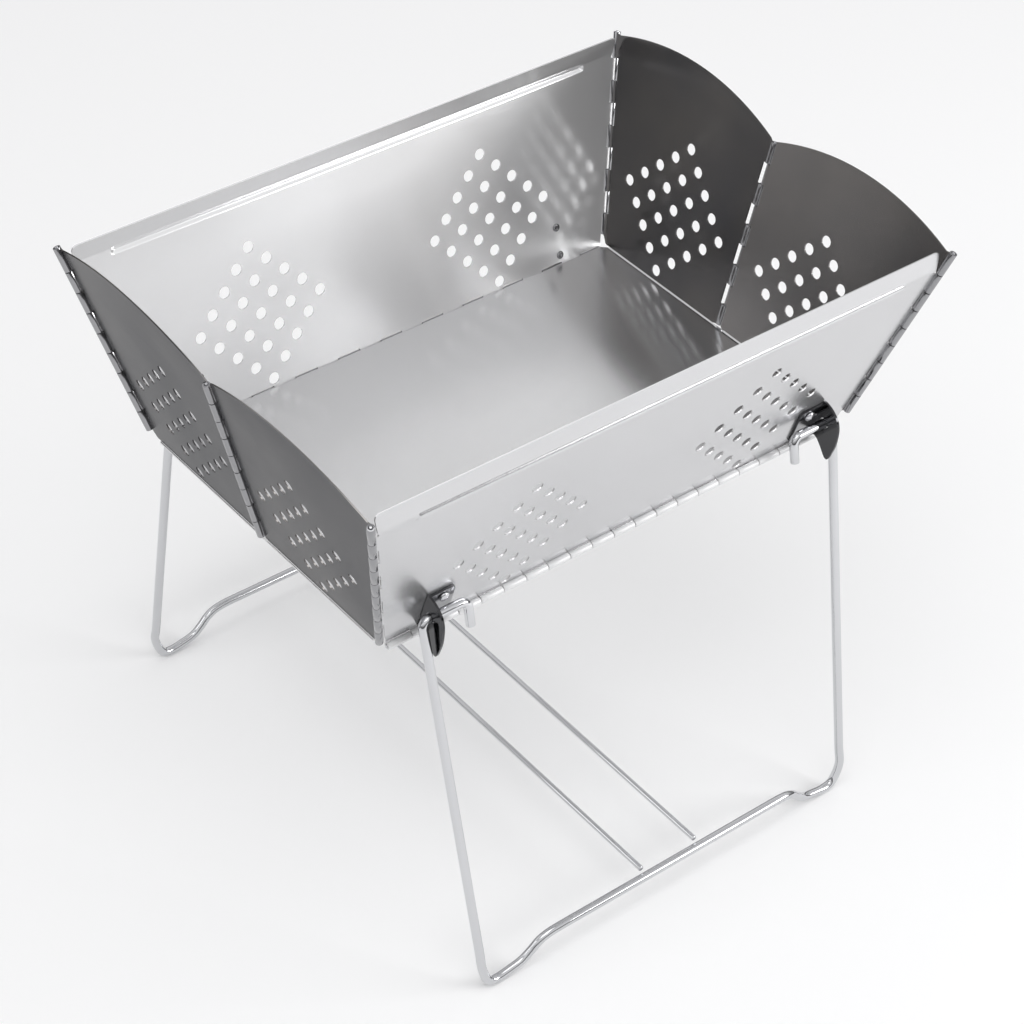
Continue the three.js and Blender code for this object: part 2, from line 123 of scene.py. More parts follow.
def skin(bag, outline, holes, fn, thick, extra=(), outer=0):
    """A sheet: the plane shape (outline less holes) laid on the surface fn(x, y) -> (point, normal)."""
    loops = [list(outline)] + [list(h) for h in holes]
    pts, edges = [], []
    for lp in loops:
        o = len(pts)
        pts += lp
        edges += [(o + i, o + (i + 1) % len(lp)) for i in range(len(lp))]
    pts += list(extra)
    vs, es, fs, *_ = delaunay_2d_cdt([V(p) for p in pts], edges, [], 0, 1e-5)
    vs = [(p[0], p[1]) for p in vs]
    hs = [(sum(p[0] for p in h) / len(h), sum(p[1] for p in h) / len(h), h, max(math.hypot(p[0] - h[0][0], p[1] - h[0][1]) for p in h)) for h in holes]
    tris = []
    for f in fs:
        a, b, c = (vs[i] for i in f)
        area = (b[0] - a[0]) * (c[1] - a[1]) - (b[1] - a[1]) * (c[0] - a[0])
        if abs(area) < 1e-9:
            continue
        g = ((a[0] + b[0] + c[0]) / 3, (a[1] + b[1] + c[1]) / 3)
        if not inside(g, outline):
            continue
        if any(math.hypot(g[0] - x, g[1] - y) < r and inside(g, h) for x, y, h, r in hs):
            continue
        tris.append(tuple(f) if area > 0 else tuple(f)[::-1])
    used = sorted({i for t in tris for i in t})
    re = {k: i for i, k in enumerate(used)}
    tris = [tuple(re[i] for i in t) for t in tris]
    lo, hi = [], []
    for k in used:
        p, n = fn(*vs[k])
        lo.append(p)
        hi.append(p + n * thick)
    n = len(used)
    cnt = {}
    for t in tris:
        for i in range(3):
            cnt[(t[i], t[(i + 1) % 3])] = 1
    if outer:
        bag.mark.append((len(bag.f) + len(tris), len(bag.f) + 2 * len(tris), outer))
    bag.add(lo + hi, [t[::-1] for t in tris] + [tuple(i + n for i in t) for t in tris] + [(b, a, a + n, b + n)[::-1][::-1] for (a, b) in cnt if (b, a) not in cnt])


def flip_if_needed(ob):
    import bmesh
    bm = bmesh.new()
    bm.from_mesh(ob.data)
    bmesh.ops.recalc_face_normals(bm, faces=bm.faces)
    bm.to_mesh(ob.data)
    bm.free()


def basis(d):
    d = d.normalized()
    a = V((0, 0, 1)) if abs(d.z) < 0.9 else V((1, 0, 0))
    a = (a - d * a.dot(d)).normalized()
    return a, d.cross(a)


def ring_tube(bag, p, q, r_out, r_in, seg=28, ch=0.16, mat=1):
    """A short tube with softened ends, such as a rolled knuckle."""
    d = (q - p).normalized()
    a, b = basis(d)
    L = (q - p).length
    prof = [(r_in, ch), (r_in + ch * 0.6, 0), (r_out - ch, 0), (r_out - ch * 0.3, ch * 0.3), (r_out, ch), (r_out, L - ch), (r_out - ch * 0.3, L - ch * 0.3), (r_out - ch, L), (r_in + ch * 0.6, L), (r_in, L - ch)]
    vs, m = [], len(prof)
    for k in range(seg):
        w = 2 * math.pi * k / seg
        u = a * math.cos(w) + b * math.sin(w)
        vs += [p + u * r + d * h for r, h in prof]
    fs = []
    for k in range(seg):
        o, o2 = k * m, ((k + 1) % seg) * m
        for i in range(m):
            j = (i + 1) % m
            fs.append((o + i, o2 + i, o2 + j, o + j))
    bag.mark.append((len(bag.f), len(bag.f) + len(fs), mat))
    bag.add(vs, fs)


def lathe(bag, origin, axis, prof, seg=24):
    """prof = [(radius, height)], from axis to axis."""
    d = axis.normalized()
    a, b = basis(d)
    vs, fs = [], []
    inner = prof[1:-1]
    m = len(inner)
    for k in range(seg):
        w = 2 * math.pi * k / seg
        u = a * math.cos(w) + b * math.sin(w)
        vs += [origin + u * r + d * h for r, h in inner]
    s0, s1 = len(vs), len(vs) + 1
    vs += [origin + d * prof[0][1], origin + d * prof[-1][1]]
    for k in range(seg):
        o, o2 = k * m, ((k + 1) % seg) * m
        fs.append((s0, o2, o))
        fs.append((s1, o + m - 1, o2 + m - 1))
        for i in range(m - 1):
            fs.append((o + i, o2 + i, o2 + i + 1, o + i + 1))
    bag.add(vs, fs)


def rounded(pts, radii, n=10):
    out = [pts[0].copy()]
    for i in range(1, len(pts) - 1):
        r = radii[i]
        if not r:
            out.append(pts[i].copy())
            continue
        a = (pts[i - 1] - pts[i]).normalized()
        b = (pts[i + 1] - pts[i]).normalized()
        half = a.angle(b) / 2
        t = r / math.tan(half)
        c = pts[i] + (a + b).normalized() * (r / math.sin(half))
        s, e = pts[i] + a * t - c, pts[i] + b * t - c
        w = s.angle(e)
        for k in range(n + 1):
            u = k / n
            out.append(c + s * (math.sin((1 - u) * w) / math.sin(w)) + e * (math.sin(u * w) / math.sin(w)))
    out.append(pts[-1].copy())
    return out


def catmull(pts, n=6):
    """Smooth curve through the points."""
    out = []
    for i in range(len(pts) - 1):
        p0 = pts[i - 1] if i else pts[i] * 2 - pts[i + 1]
        p1, p2 = pts[i], pts[i + 1]
        p3 = pts[i + 2] if i + 2 < len(pts) else pts[i + 1] * 2 - pts[i]
        for k in range(n):
            t = k / n
            out.append(0.5 * ((2 * p1) + (p2 - p0) * t + (2 * p0 - 5 * p1 + 4 * p2 - p3) * t * t + (3 * p1 - p0 - 3 * p2 + p3) * t ** 3))
    out.append(pts[-1].copy())
    return out


def tube(bag, pts, r, seg=20, dome=0.45):
    """A bent round wire with softened ends."""
    pts = [p.copy() for p in pts]
    n = len(pts)
    tan = []
    for i in range(n):
        a = (pts[i] - pts[i - 1]).normalized() if i else None
        b = (pts[i + 1] - pts[i]).normalized() if i < n - 1 else None
        tan.append(((a or b) + (b or a)).normalized())
    nrm, _ = basis(tan[0])
    rings = []
    for i in range(n):
        if i:
            q = tan[i - 1].rotation_difference(tan[i])
            nrm = (q @ nrm)
            nrm = (nrm - tan[i] * nrm.dot(tan[i])).normalized()
        bi = tan[i].cross(nrm)
        rings.append((pts[i], nrm.copy(), bi.copy(), r))
    head = [(rings[0][0] - tan[0] * 0, rings[0][1], rings[0][2], r)]
    caps0 = [(pts[0] + tan[0] * (dome * (1 - math.sin(w))), rings[0][1], rings[0][2], r - dome * (1 - math.cos(w))) for w in (math.pi / 2, math.pi / 4)]
    caps1 = [(pts[-1] - tan[-1] * (dome * (1 - math.sin(w))), rings[-1][1], rings[-1][2], r - dome * (1 - math.cos(w))) for w in (math.pi / 4, math.pi / 2)]
    rings[0] = (pts[0] + tan[0] * dome, rings[0][1], rings[0][2], r)
    rings[-1] = (pts[-1] - tan[-1] * dome, rings[-1][1], rings[-1][2], r)
    rings = caps0 + rings + caps1
    vs = []
    for p, a, b, rr in rings:
        for k in range(seg):
            w = 2 * math.pi * k / seg
            vs.append(p + (a * math.cos(w) + b * math.sin(w)) * rr)
    fs = []
    m = len(rings)
    for i in range(m - 1):
        for k in range(seg):
            p, q = i * seg + k, i * seg + (k + 1) % seg
            fs.append((p, q, q + seg, p + seg))
    fs.append(tuple(range(seg))[::-1])
    fs.append(tuple(range((m - 1) * seg, m * seg)))
    bag.add(vs, fs)


# ------------------------------------------------------------------ layout
def knuckles(a, b, n):
    w = (b - a) / n
    return [dict(lo=a + i * w, hi=a + (i + 1) * w, fr=a + i * w + (GAP / 2 if i else 0), to=a + (i + 1) * w - (GAP / 2 if i < n - 1 else 0), i=i) for i in range(n)]


K_BASE = knuckles(-166, 166, 21)
K_CORNER = knuckles(6.6, 134.6, 9)
K_CORNER[-1]["hi"] = K_CORNER[-1]["to"] = 136.6  # the top knuckle runs on to the rim
K_MID = knuckles(2.2, 127.2, 9)


def stepped(ks, mine, tab, cut, r=0.7):
    """Stepped edge with small rounds where the slots end."""
    p = []
    n = len(ks)
    for k in ks:
        if mine(k["i"]):
            p += [(k["fr"], tab), (k["to"], tab)]
        else:
            lo = k["lo"] - (GAP / 2 if k["i"] else 0)
            hi = k["hi"] + (GAP / 2 if k["i"] < n - 1 else 0)
            q = cut - r
            if k["i"]:
                p += [(lo, q), (lo + r * 0.3, cut - r * 0.3), (lo + r, cut)]
            else:
                p += [(lo, cut)]
            if k["i"] < n - 1:
                p += [(hi - r, cut), (hi - r * 0.3, cut - r * 0.3), (hi, q)]
            else:
                p += [(hi, cut)]
    return p


def at_corner(base, slope, l, q):
    n = math.hypot(slope, 1)
    return (base + slope / n * l - q / n, l / n + slope / n * q)


def circle(x, y, r, n=28):
    return [(x + r * math.cos(2 * math.pi * i / n), y + r * math.sin(2 * math.pi * i / n)) for i in range(n)]


def lattice(cx, cy):
    return [circle(cx + (i + j) * PITCH / math.sqrt(2), cy + (i - j) * PITCH / math.sqrt(2), HOLE) for i in range(-2, 3) for j in range(-2, 3)]


# ------------------------------------------------------------------ materials
def steel(name, color, rough, direction=(1, 0, 0), streak=0.06, var=0.05, bump=0.02, tint=None, scale=1.0, metallic=1.0, coat=0.0, edge=1.0, aniso=0.0, along=(0, 1, 0)):
    """Rolled stainless sheet: fine grain along one direction, soft cloudy change of tone, faint scuffs."""
    m = bpy.data.materials.new(name)
    m.use_nodes = True
    nt = m.node_tree
    nd, ln = nt.nodes, nt.links
    b = nd["Principled BSDF"]
    b.inputs["Metallic"].default_value = metallic
    b.inputs["Specular Tint"].default_value = (edge, edge, edge, 1)
    b.inputs["Coat Weight"].default_value = coat
    b.inputs["Coat Roughness"].default_value = 0.04
    tc = nd.new("ShaderNodeTexCoord")
    mp = nd.new("ShaderNodeMapping")
    if aniso:  # reflections smear across the rolling grain
        b.inputs["Anisotropic"].default_value = aniso
        tan = nd.new("ShaderNodeCombineXYZ")
        for i in range(3):
            tan.inputs[i].default_value = along[i]
        ln.new(tan.outputs["Vector"], b.inputs["Tangent"])
    # stretched along the rolling direction
    s = [260.0 * scale, 260.0 * scale, 260.0 * scale]
    for i in range(3):
        if direction[i]:
            s[i] = 6.0 * scale
    mp.inputs["Scale"].default_value = s
    ln.new(tc.outputs["Object"], mp.inputs["Vector"])
    grain = nd.new("ShaderNodeTexNoise")
    grain.inputs["Scale"].default_value = 9.0
    grain.inputs["Detail"].default_value = 4.0
    grain.inputs["Roughness"].default_value = 0.62
    ln.new(mp.outputs["Vector"], grain.inputs["Vector"])
    cloud = nd.new("ShaderNodeTexNoise")
    cloud.inputs["Scale"].default_value = 11.0
    cloud.inputs["Detail"].default_value = 3.0
    ln.new(tc.outputs["Object"], cloud.inputs["Vector"])
    # colour
    r1 = nd.new("ShaderNodeMapRange")
    r1.inputs["From Min"].default_value = 0.3
    r1.inputs["From Max"].default_value = 0.7
    r1.inputs["To Min"].default_value = 0.0
    r1.inputs["To Max"].default_value = 1.0
    ln.new(cloud.outputs["Fac"], r1.inputs["Value"])
    mix = nd.new("ShaderNodeMix")
    mix.data_type = "RGBA"
    c0 = [c * (1 - var) for c in color]
    c1 = [min(1, c * (1 + var)) for c in (tint or color)]
    mix.inputs["A"].default_value = (*c0, 1)
    mix.inputs["B"].default_value = (*c1, 1)
    ln.new(r1.outputs["Result"], mix.inputs["Factor"])
    ln.new(mix.outputs["Result"], b.inputs["Base Color"])
    # roughness
    r2 = nd.new("ShaderNodeMapRange")
    r2.inputs["From Min"].default_value = 0.25
    r2.inputs["From Max"].default_value = 0.75
    r2.inputs["To Min"].default_value = max(0.02, rough - streak)
    r2.inputs["To Max"].default_value = rough + streak
    ln.new(grain.outputs["Fac"], r2.inputs["Value"])
    ln.new(r2.outputs["Result"], b.inputs["Roughness"])
    bp = nd.new("ShaderNodeBump")
    bp.inputs["Strength"].default_value = bump
    bp.inputs["Distance"].default_value = 0.001
    ln.new(grain.outputs["Fac"], bp.inputs["Height"])
    ln.new(bp.outputs["Normal"], b.inputs["Normal"])
    return m


MAT_FLOOR = steel("floor_sheet_steel", (0.69, 0.69, 0.695), 0.20, (1, 0, 0), 0.02, 0.02, 0.006, aniso=0.85, along=(0, 1, 0))
# Painted light: both faces of the long walls are one steel, but the inner face is given a much paler colour than the
# outer face, standing in for bright reflections on the inside.
MAT_LONG = steel("long_wall_inner_steel_painted_light", (0.95, 0.95, 0.955), 0.20, (1, 0, 0), 0.02, 0.02, 0.006, metallic=0.66, aniso=0.75, along=(0, 0, 1))
MAT_LONG_OUT = steel("long_wall_outer_steel", (0.64, 0.64, 0.65), 0.22, (1, 0, 0), 0.02, 0.02, 0.008, metallic=0.85)
# Painted shade: the rear end leaves are the same stainless steel as the walls, coloured near-black to stand in for the
# dark reflections on them.
MAT_LEAF = steel("rear_leaf_steel_painted_shade", (0.110, 0.109, 0.115), 0.17, (0, 1, 0), 0.03, 0.10, 0.008, tint=(0.145, 0.137, 0.130), edge=0.8)
# Painted reflection: the front end leaves are the same steel, given a paler tone than the rear leaves to stand in for a
# reflection.
MAT_LEAF_FRONT = steel("front_leaf_steel_painted_reflection", (0.250, 0.244, 0.245), 0.19, (0, 1, 0), 0.03, 0.08, 0.008, tint=(0.290, 0.275, 0.265), edge=0.8)
# Painted shade: the outer faces of all end leaves are coloured darker still, standing in for reflections of the shaded
# ground under and beside the grill.
MAT_LEAF_OUT = steel("end_leaf_outer_steel_painted_shade", (0.075, 0.076, 0.084), 0.20, (0, 1, 0), 0.03, 0.20, 0.008, tint=(0.125, 0.122, 0.124), scale=0.5, edge=0.72)
MAT_BARREL = steel("rolled_knuckle_steel", (0.33, 0.33, 0.34), 0.16, (0, 1, 0), 0.04, 0.05, 0.010)
MAT_HEM = steel("floor_hinge_knuckle_steel", (0.76, 0.76, 0.765), 0.48, (1, 0, 0), 0.03, 0.03, 0.008, metallic=0.35)
MAT_PIN = steel("hinge_pin_steel", (0.60, 0.60, 0.62), 0.24, (1, 0, 0), 0.05, 0.04, 0.02)
# Painted reflection: the chrome brackets are given a near-black colour, standing in for the dark surroundings that
# chrome reflects.
MAT_BRACKET = steel("bracket_chrome_painted_dark_reflection", (0.055, 0.055, 0.058), 0.10, (1, 0, 0), 0.04, 0.05, 0.01, coat=0.3)
MAT_WIRE = steel("wire_chrome", (0.62, 0.625, 0.64), 0.06, (0, 0, 1), 0.03, 0.04, 0.008)

RIVETS = [(134.0, 24.4), (134.0, 5.6)]


# ------------------------------------------------------------------ floor sheet
def make_base():
    bag = Bag()
    rear = [(x, y) for x, y in stepped(K_BASE, lambda i: i % 2 == 0, AX_Y - 0.3, AX_Y - CUT_B, 0.3)]
    front = [(x, -y) for x, y in rear][::-1]
    E, W = 170.6, HALF_W - 5  # the ends reach under the leaves, so that the seam is shut
    out = [(-E, -W), (-E, W), (-166, AX_Y - CUT_B)] + rear + [(166, AX_Y - CUT_B), (E, W), (E, -W), (166, -(AX_Y - CUT_B))] + front + [(-166, -(AX_Y - CUT_B))]
    out = out[::-1]
    out = dedupe(out)
    skin(bag, out, [], lambda x, y: (V((x, y, -T_BASE)), V((0, 0, 1))), T_BASE)
    for d in (1, -1):
        for k in K_BASE:
            if k["i"] % 2 == 0:
                ring_tube(bag, V((k["fr"], d * AX_Y, AX_Z)), V((k["to"], d * AX_Y, AX_Z)), R_KN - 0.03, 1.35, mat=3)
    ob = bag.make("floor_sheet", "base", ["base_plate"], MAT_FLOOR)
    flip_if_needed(ob)


def dedupe(p):
    out = []
    for q in p:
        if not out or math.hypot(q[0] - out[-1][0], q[1] - out[-1][1]) > 1e-4:
            out.append(q)
    if math.hypot(out[0][0] - out[-1][0], out[0][1] - out[-1][1]) < 1e-4:
        out.pop()
    return out


# ------------------------------------------------------------------ long walls
Y0, Z0 = HALF_W + sL * CREASE, cL * CREASE
LIP_W = math.hypot(LIP_TOP_Y - Y0, LIP_TOP_Z - Z0)
LIP_ANG = math.atan2(sL, cL) - math.atan2(LIP_TOP_Y - Y0, LIP_TOP_Z - Z0)  # how far the lip leans inwards


def smooth(t):
    t = min(1, max(0, t))
    return t * t * (3 - 2 * t)


def long_surface(d):
    """(x, s) -> inner face point and outward normal. The lip bends inwards over a small radius, the bead stands outwards."""
    RB = 4.0

    def fn(x, s):
        L = RB * LIP_ANG
        s0 = CREASE - L / 2
        if s <= s0:
            u, n, ang = s, 0.0, 0.0
        elif s <= s0 + L:
            a = (s - s0) / RB
            u, n, ang = s0 + RB * math.sin(a), -RB * (1 - math.cos(a)), a
        else:
            a = LIP_ANG
            u = s0 + RB * math.sin(a) + (s - s0 - L) * math.cos(a)
            n = -RB * (1 - math.cos(a)) - (s - s0 - L) * math.sin(a)
            ang = a
        base = V((0, d * HALF_W, 0)) + s_long(d) * u + n_long(d) * n
        nn = n_long(d) * math.cos(ang) + s_long(d) * math.sin(ang)
        # bead
        c = CREASE - 1.7
        w = 2.7
        end = 1 - smooth((abs(x) - 169.5) / 3.5)
        t = (s - c) / w
        if abs(t) < 1 and end > 0:
            h = 1.6 * end * (0.5 + 0.5 * math.cos(math.pi * t))
            base = base + nn * h
        p = base + V((x, 0, 0))
        return p, nn

    return fn


def make_long(d):
    bag = Bag()
    a = -d  # local x runs along a*X so that x, s, outward normal is right-handed
    fn0 = long_surface(d)
    fn = lambda x, s: fn0(a * x, s)
    side = [at_corner(HALF_L, SLOPE_LONG, l, q) for l, q in stepped(K_CORNER, lambda i: i % 2 == 1, -FOOT_CORNER + 0.9, -FOOT_CORNER + CUT)]
    xl, sl = at_corner(HALF_L, SLOPE_LONG, 4.5, -FOOT_CORNER + CUT)
    foot = stepped(K_BASE, lambda i: i % 2 == 1, -FOOT_BASE + 0.3, -FOOT_BASE + CUT_B, 0.3)
    side = [(x, s) for x, s in side if sl < s < CREASE - 3.2]
    top = CREASE + LIP_W
    xc = HALF_L + SLOPE_LONG * CREASE
    upper = [(xc - 4.4, CREASE - 2.2), (xc - 3.0, CREASE), (xc - 1.7, top - 3.2), (xc - 2.4, top - 1.0), (xc - 4.6, top)]
    up2 = [(x, s) for x, s in upper]
    out = foot + [(xl - 1.2, -FOOT_BASE + CUT_B)] + side + up2 + [(-x, s) for x, s in up2[::-1]] + [(-x, s) for x, s in side[::-1]] + [(-(xl - 1.2), -FOOT_BASE + CUT_B)]
    out = dedupe(out)
    holes = lattice(85.5, 47.6) + lattice(-85.5, 47.6)
    for x, s in RIVETS:
        holes += [circle(x, s, 1.7, 16), circle(-x, s, 1.7, 16)]
    extra = []
    ss = [110.0, 113.0] + [CREASE - 4.9 + 0.25 * i for i in range(32)] + [CREASE + 4.2, CREASE + 7.0, CREASE + 10.0]
    xs = [-191 + 382 * i / 76 for i in range(77)] + [sg * (168.5 + 0.5 * i) for i in range(12) for sg in (1, -1)]
    for s in ss:
        for x in xs:
            if abs(x) < xc - 5:
                extra.append((x, s))
    skin(bag, out, holes, fn, T, extra, 2)
    for k in K_BASE:
        if k["i"] % 2 == 1:
            ring_tube(bag, V((k["fr"], d * AX_Y, AX_Z)), V((k["to"], d * AX_Y, AX_Z)), R_KN - 0.03, 1.35, mat=3)
    for e in (1, -1):
        p, dr = corner_axis(e, d), corner_dir(e, d)
        for k in K_CORNER:
            if k["i"] % 2 == 1:
                ring_tube(bag, p + dr * k["fr"], p + dr * k["to"], R_KN - 0.03, 1.35)
    ob = bag.make(SIDE[d] + "_long_wall", SIDE[d] + "_wall", [SIDE[d] + "_panel"], MAT_LONG)
    flip_if_needed(ob)


# ------------------------------------------------------------------ end leaves
def make_leaf(e, d):
    bag = Bag()
    g, rear = e * d, d > 0
    VB, RAD, UC = 1.35, 193.9, 75.5
    VC = 143.15 - RAD
    mid = [(u, v) for v, u in stepped(K_MID, lambda i: (i % 2 == 0) == rear, 0.9, 3.0)]
    corner = [at_corner(HALF_W, SLOPE_END, l, q) for l, q in stepped(K_CORNER, lambda i: i % 2 == 0, -FOOT_CORNER + 0.9, -FOOT_CORNER + CUT)]
    top = []
    for i in range(41):
        u = 3.2 + (144.6 - 3.2) * i / 40
        top.append((u, VC + math.sqrt(RAD ** 2 - (u - UC) ** 2)))
    uc0 = at_corner(HALF_W, SLOPE_END, 5.5, -0.6)[0]
    out = mid + top + corner[::-1] + [(uc0, 6), (HALF_W - 0.2, 3.4), (HALF_W - 0.9, 2.1), (HALF_W - 2.6, VB), (CUT, VB)]
    out = dedupe([(g * u, v) for u, v in out])
    ar = sum(out[i - 1][0] * out[i][1] - out[i][0] * out[i - 1][1] for i in range(len(out)))
    if ar < 0:
        out = out[::-1]
    av = V((0, e, 0))
    org = V((e * HALF_L, 0, 0))
    fn = lambda u, v: (org + av * u + v_end(e) * v, n_end(e))
    skin(bag, out, lattice(g * 61, 49.9), fn, T, (), 2)
    cp = org + n_end(e) * OFF
    for k in K_MID:
        if (k["i"] % 2 == 0) == rear:
            p, q = cp + v_end(e) * k["fr"], cp + v_end(e) * k["to"]
            if rear:
                ring_tube(bag, p, q, R_KN - 0.03, 1.2)
            else:
                hook(bag, p, q, av * g, n_end(e))
    p, dr = corner_axis(e, d), corner_dir(e, d)
    for k in K_CORNER:
        if k["i"] % 2 == 0:
            ring_tube(bag, p + dr * k["fr"], p + dr * k["to"], R_KN - 0.03, 1.35)
    n = END[e] + "_" + SIDE[d]
    # Rear and front leaves take differently painted tones of one steel: painted shade on the rear leaves, a paler
    # painted reflection on the front leaves.
    ob = bag.make(n + "_end_leaf_sheet", n + "_end_leaf", [n + "_leaf"], MAT_LEAF if rear else MAT_LEAF_FRONT)
    flip_if_needed(ob)


def hook(bag, p, q, u, n):
    """Open knuckle: an arc of sheet from the leaf over the outer side of the pin."""
    r1, r0 = R_KN - 0.03, 1.78
    a0, a1 = math.radians(-52), math.radians(132)
    seg = 16
    ring = []
    for i in range(seg + 1):
        w = a0 + (a1 - a0) * i / seg
        ring.append(u * (math.cos(w) * r1) + n * (math.sin(w) * r1))
    for i in range(seg, -1, -1):
        w = a0 + (a1 - a0) * i / seg
        ring.append(u * (math.cos(w) * r0) + n * (math.sin(w) * r0))
    m = len(ring)
    vs = [p + o for o in ring] + [q + o for o in ring]
    fs = [(i, (i + 1) % m, (i + 1) % m + m, i + m) for i in range(m)]
    for i in range(seg):
        j = m - 1 - i
        fs.append((i, j, j - 1, i + 1))
        fs.append((i + m, i + 1 + m, j - 1 + m, j + m))
    bag.mark.append((len(bag.f), len(bag.f) + len(fs), 1))
    bag.add(vs, fs)


# ------------------------------------------------------------------ pins
def make_pin(name, body, p, q, r):
    bag = Bag()
    d = q - p
    L = d.length
    c = r * 0.35
    lathe(bag, p, d, [(0, 0), (r - c * 1.4, 0.0), (r - c * 0.4, c * 0.4), (r, c * 1.3), (r, L - c * 1.3), (r - c * 0.4, L - c * 0.4), (r - c * 1.4, L), (0, L)], 20)
    ob = bag.make(name + "_drawn", body, [name], MAT_PIN)
    flip_if_needed(ob)


# ------------------------------------------------------------------ brackets and rivets
T_BR, EAR_X = 1.4, 144.6


def smooth_loop(pts, n=5):
    m = len(pts)
    out = []
    P = [V((x, y)) for x, y in pts]
    for i in range(m):
        p0, p1, p2, p3 = P[i - 1], P[i], P[(i + 1) % m], P[(i + 2) % m]
        for k in range(n):
            t = k / n
            q = 0.5 * ((2 * p1) + (p2 - p0) * t + (2 * p0 - 5 * p1 + 4 * p2 - p3) * t * t + (3 * p1 - p0 - 3 * p2 + p3) * t ** 3)
            out.append((q.x, q.y))
    return out


def make_bracket(e, d):
    bag = Bag()
    g = -d * e
    org = V((0, d * HALF_W, 0)) + n_long(d) * (T + 0.3)
    av = V((-d, 0, 0))
    c = 2.0
    pl = [(126.5 + c, 1.9), (EAR_X + 0.6, 1.9), (EAR_X + 0.6, 29.5), (126.5 + c, 29.5), (126.5 + c * 0.3, 29.5 - c * 0.3), (126.5, 29.5 - c), (126.5, 1.9 + c), (126.5 + c * 0.3, 1.9 + c * 0.3)]
    pl = [(g * x, v) for x, v in pl]
    if g < 0:
        pl = pl[::-1]
    skin(bag, pl, [circle(g * x, v, 1.7, 16) for x, v in RIVETS], lambda x, v: (org + av * x + s_long(d) * v, n_long(d)), T_BR, (), 1)
    f = lambda v: (HALF_W + sL * v + cL * (T + 0.3), cL * v - sL * (T + 0.3))
    curve = [f(29.5), (120.6, 29.4), (126.5, 27.4), (131.5, 23.2), (133.9, 18.0), (134.2, 11.5), (133.2, 3.5), (131.0, -3.5), (128.9, -8.4), (127.0, -9.4), (125.0, -8.0), (121.0, -2.6), (117.0, 1.2), f(1.9)]
    cv = catmull([V((y, z, 0)) for y, z in curve], 5)
    ear = dedupe([(p.x, p.y) for p in cv])
    ar = sum(ear[i - 1][0] * ear[i][1] - ear[i][0] * ear[i - 1][1] for i in range(len(ear)))
    if ar < 0:
        ear = ear[::-1]
    x0 = e * EAR_X - 0.7
    skin(bag, ear, [circle(PIVOT_Y, PIVOT_Z, ROD + 0.35, 24)], lambda y, z: (V((x0, d * y, z)), V((1, 0, 0))), T_BR)
    n = END[e] + "_" + SIDE[d]
    ob = bag.make(n + "_bracket_pressed", SIDE[d] + "_wall", [n + "_leg_bracket"], MAT_BRACKET)
    flip_if_needed(ob)
    bv = ob.modifiers.new("soft_edges", "BEVEL")
    bv.width = 0.0003
    bv.segments = 2
    bv.limit_method = "ANGLE"
    bv.angle_limit = math.radians(50)


def make_rivets(e, d):
    n = END[e] + "_" + SIDE[d]
    h = T + 0.3 + T_BR + 0.3
    for i, nm in ((0, "_rivet_upper"), (1, "_rivet_lower")):
        bag = Bag()
        x, v = RIVETS[i]
        o = V((e * x, d * HALF_W, 0)) + s_long(d) * v
        dome = [(3.4 * math.cos(w), h + 0.25 + 1.8 * math.sin(w)) for w in [math.radians(a) for a in range(0, 81, 10)]]
        prof = [(0, -1.1), (1.2, -1.06), (2.1, -0.9), (2.55, -0.6), (2.6, -0.3), (1.45, -0.25), (1.45, h), (3.25, h)] + dome + [(0, h + 2.05)]
        lathe(bag, o, n_long(d), prof, 28)
        per = len(prof) - 1  # faces of one segment: two caps and the bands between
        for k in range(28):  # the flattened tail is bare steel
            bag.mark += [(k * per, k * per + 1, 1), (k * per + 2, k * per + 6, 1)]
        ob = bag.make(n + nm + "_head", SIDE[d] + "_wall", [n + nm], MAT_PIN)
        flip_if_needed(ob)


# ------------------------------------------------------------------ leg frames and spreader
def make_legs(d):
    bag = Bag()

    def half(e):
        top = V((e * LEG_X, d * PIVOT_Y, PIVOT_Z))
        low = V((e * 142, d * 174.6, -224))
        down = (low - top).normalized()
        hd = V((0, down.y, down.z)).normalized()
        h0 = V((e * HOOK_X, d * PIVOT_Y, PIVOT_Z))
        a = rounded([h0 + hd * 16.5, h0, top, low], [0, 5.0, 4.5, 0], 12)
        foot = [low, V((e * 137.5, d * 174.7, -236.5)), V((e * 130.5, d * 174.7, -239.1)), V((e * 121, d * 174.8, -237.8)), V((e * 112.4, d * 175.0, -235.5)), V((e * 106, d * 175.3, -230.7)), V((e * 101, d * 175.7, -226.2)), V((e * 94.6, d * 176.1, -223.3)), V((e * 85, d * BAR_Y, BAR_Z))]
        ext = [low - down * 12] + foot + [V((e * 70, d * BAR_Y, BAR_Z))]
        c = catmull(ext, 6)
        return a[:-1] + c[:-1]

    pts = half(1) + half(-1)[::-1]
    tube(bag, pts, ROD - 0.2, 24)
    ob = bag.make(SIDE[d] + "_leg_wire", SIDE[d] + "_legs", [SIDE[d] + "_leg_frame"], MAT_WIRE, 60)
    flip_if_needed(ob)


def make_spreader(e):
    bag = Bag()
    x = e * SPREAD_X
    r = 1.75
    m = ROD + 0.35 + r
    pts = [V((x, -(BAR_Y - 2.6), BAR_Z + m)), V((x, 0, BAR_Z + m)), V((x, BAR_Y - 6, BAR_Z + m))]
    for i in range(0, 41):
        w = math.radians(90 - i * 7.6)
        pts.append(V((x + e * 0.02 * i, BAR_Y - 0.35 + m * math.cos(w), BAR_Z + m * math.sin(w))))
    tube(bag, pts, r, 20)
    ob = bag.make(END[e] + "_spreader_bent", "spreader", [END[e] + "_spreader_wire"], MAT_WIRE, 60)
    flip_if_needed(ob)


